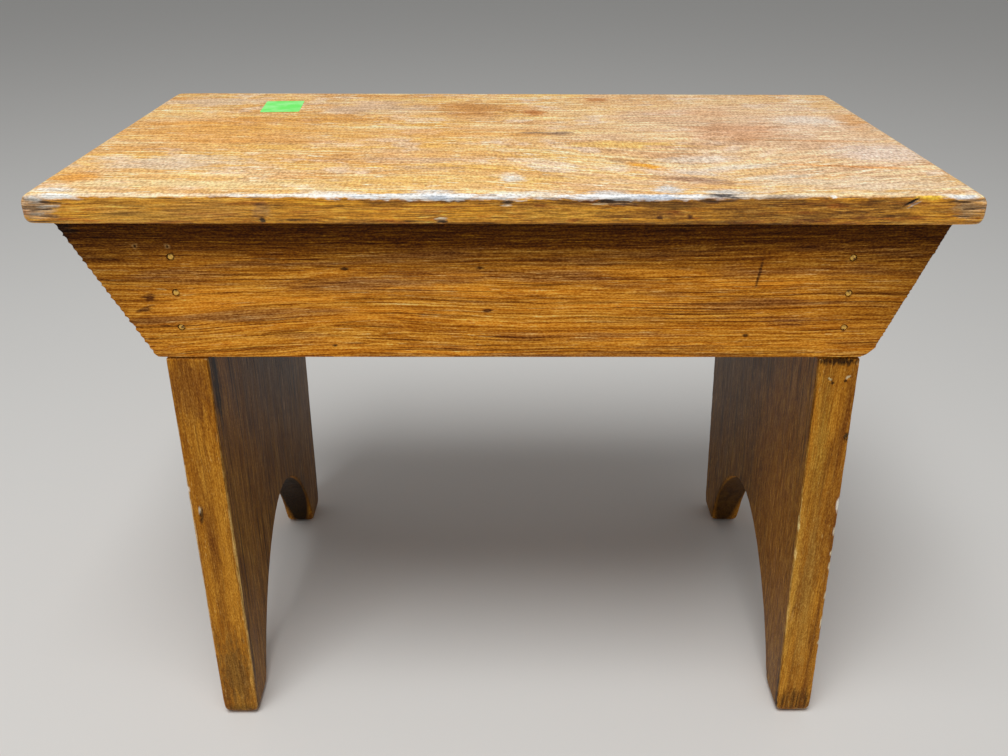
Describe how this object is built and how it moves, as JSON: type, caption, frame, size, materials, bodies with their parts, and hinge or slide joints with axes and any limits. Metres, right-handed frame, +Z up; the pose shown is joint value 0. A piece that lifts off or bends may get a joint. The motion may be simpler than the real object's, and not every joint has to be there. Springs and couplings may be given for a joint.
{
  "type": "low bench",
  "caption": "Low wooden bench: plank seat over splayed, arched leg boards, with sloping-ended aprons let into the legs and nailed.",
  "frame": {"origin": "on the floor, under the middle of the seat", "axes": "+X along the seat, to the right seen from the front; +Y from the front apron to the rear one; +Z up"},
  "size_m": [0.4, 0.216, 0.3],
  "materials": {
    "seat_wood": "old varnish, scuffed and hazy",
    "apron_wood": "old amber varnish, dark grain",
    "leg_wood": "old amber varnish, worn arrises",
    "nail_steel": "varnished over, dull"
  },
  "bodies": {
    "root": {"seat_board": "seat_wood", "front_apron": "apron_wood", "rear_apron": "apron_wood", "left_leg": "leg_wood", "right_leg": "leg_wood", "front_nail_left_1": "nail_steel", "front_nail_left_2": "nail_steel", "front_nail_left_3": "nail_steel", "front_nail_right_1": "nail_steel", "front_nail_right_2": "nail_steel", "front_nail_right_3": "nail_steel", "rear_nail_left_1": "nail_steel", "rear_nail_left_2": "nail_steel", "rear_nail_left_3": "nail_steel", "rear_nail_right_1": "nail_steel", "rear_nail_right_2": "nail_steel", "rear_nail_right_3": "nail_steel", "seat_nail_left_1": "nail_steel", "seat_nail_left_2": "nail_steel", "seat_nail_left_3": "nail_steel", "seat_nail_right_1": "nail_steel", "seat_nail_right_2": "nail_steel", "seat_nail_right_3": "nail_steel"}
  },
  "joints": []
}
